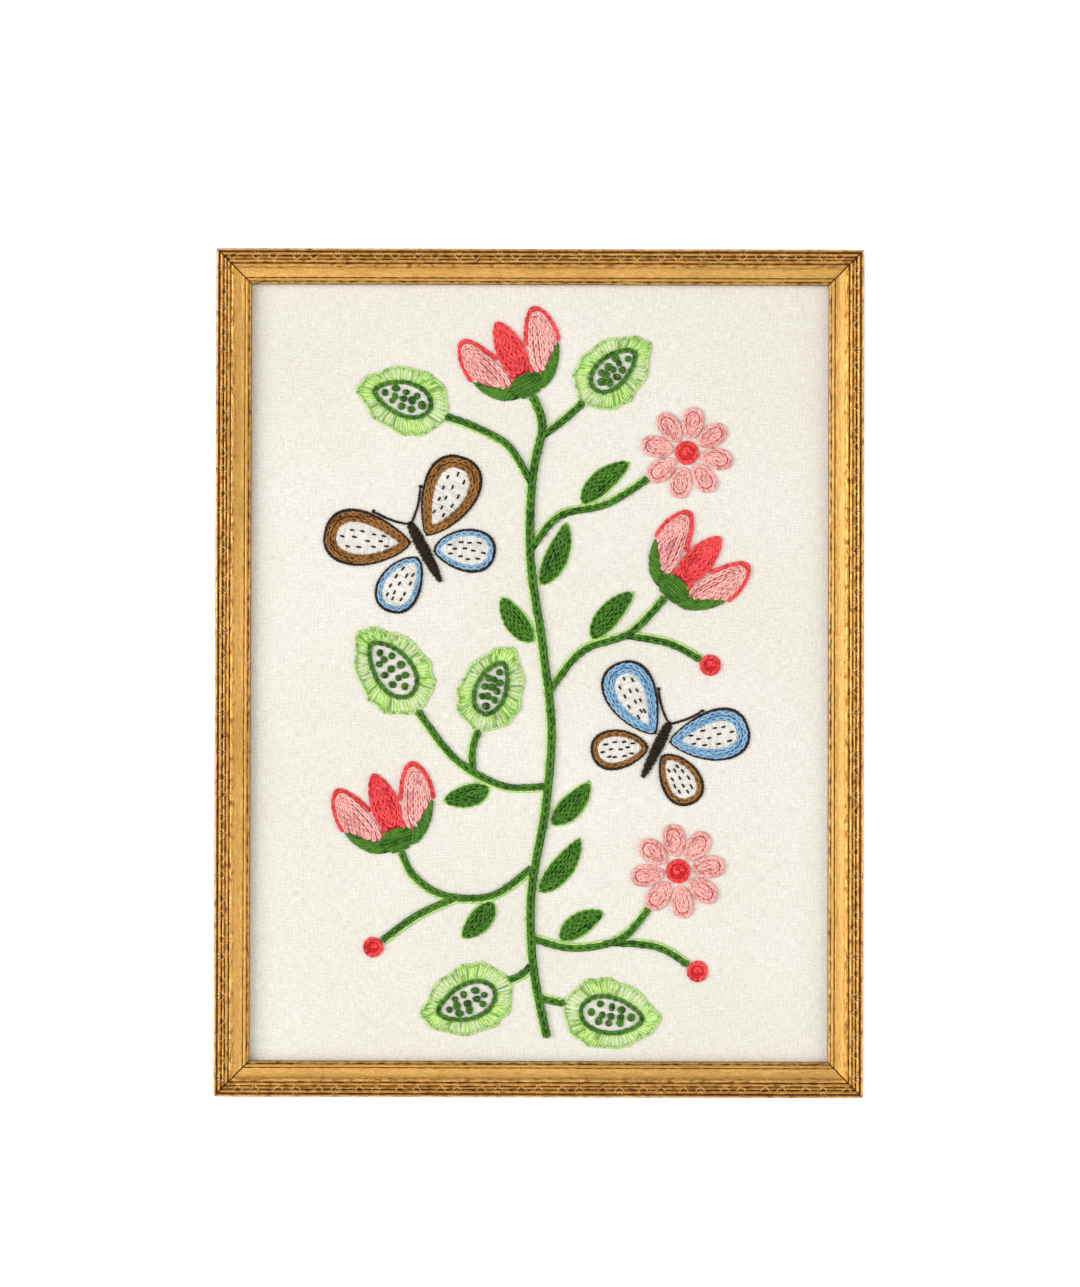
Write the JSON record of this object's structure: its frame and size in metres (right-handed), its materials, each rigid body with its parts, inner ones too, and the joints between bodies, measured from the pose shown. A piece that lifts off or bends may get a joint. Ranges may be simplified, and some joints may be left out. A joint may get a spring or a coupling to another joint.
{
  "type": "crewel embroidery panel in a gilt wooden frame",
  "caption": "Upright linen panel with a flowering stem, butterflies and seed pods in raised crewel wool, set in a narrow reeded gilt frame.",
  "frame": {"origin": "on the surface that the panel lies on, under the middle of the frame", "axes": "+X to the picture's right, +Y to its top along the long side, +Z out of its face"},
  "size_m": [0.3302, 0.4318, 0.0161],
  "materials": {
    "gilt": "worn gold leaf over red-brown ground, on reeded wood",
    "board": "plain brown corrugated card, matt",
    "linen": "natural off-white plain-weave linen",
    "wool_green": "two-ply crewel wool, dark green",
    "wool_lime": "two-ply crewel wool, light green",
    "wool_coral": "two-ply crewel wool, coral red",
    "wool_pink": "two-ply crewel wool, pink",
    "wool_blue": "two-ply crewel wool, light blue",
    "wool_brown": "two-ply crewel wool, brown",
    "wool_black": "two-ply crewel wool, black"
  },
  "bodies": {
    "root": {"berry_1": "wool_coral", "berry_2": "wool_coral", "berry_3": "wool_coral", "butterfly_1_body": "wool_black", "butterfly_1_forewing_left": "wool_brown", "butterfly_1_forewing_right": "wool_brown", "butterfly_1_hindwing_left": "wool_blue", "butterfly_1_hindwing_right": "wool_blue", "butterfly_2_body": "wool_black", "butterfly_2_forewing_left": "wool_blue", "butterfly_2_forewing_right": "wool_blue", "butterfly_2_hindwing_left": "wool_brown", "butterfly_2_hindwing_right": "wool_brown", "daisy_1_eye": "wool_coral", "daisy_1_petals": "wool_pink", "daisy_2_eye": "wool_coral", "daisy_2_petals": "wool_pink", "leaf_1": "wool_green", "leaf_2": "wool_green", "leaf_3": "wool_green", "leaf_4": "wool_green", "leaf_5": "wool_green", "leaf_6": "wool_green", "leaf_7": "wool_green", "leaf_8": "wool_green", "leaf_9": "wool_green", "linen_ground": "linen", "mount_board": "board", "pod_1_border": "wool_lime", "pod_1_outline": "wool_green", "pod_2_border": "wool_lime", "pod_2_outline": "wool_green", "pod_3_border": "wool_lime", "pod_3_outline": "wool_green", "pod_4_border": "wool_lime", "pod_4_outline": "wool_green", "pod_5_border": "wool_lime", "pod_5_outline": "wool_green", "pod_6_border": "wool_lime", "pod_6_outline": "wool_green", "rail_bottom": "gilt", "rail_left": "gilt", "rail_right": "gilt", "rail_top": "gilt", "stems": "wool_green", "tulip_1_calyx": "wool_green", "tulip_1_petal_centre": "wool_coral", "tulip_1_petal_left": "wool_pink", "tulip_1_petal_right": "wool_pink", "tulip_2_calyx": "wool_green", "tulip_2_petal_centre": "wool_coral", "tulip_2_petal_left": "wool_pink", "tulip_2_petal_right": "wool_pink", "tulip_3_calyx": "wool_green", "tulip_3_petal_centre": "wool_coral", "tulip_3_petal_left": "wool_pink", "tulip_3_petal_right": "wool_pink"}
  },
  "joints": []
}
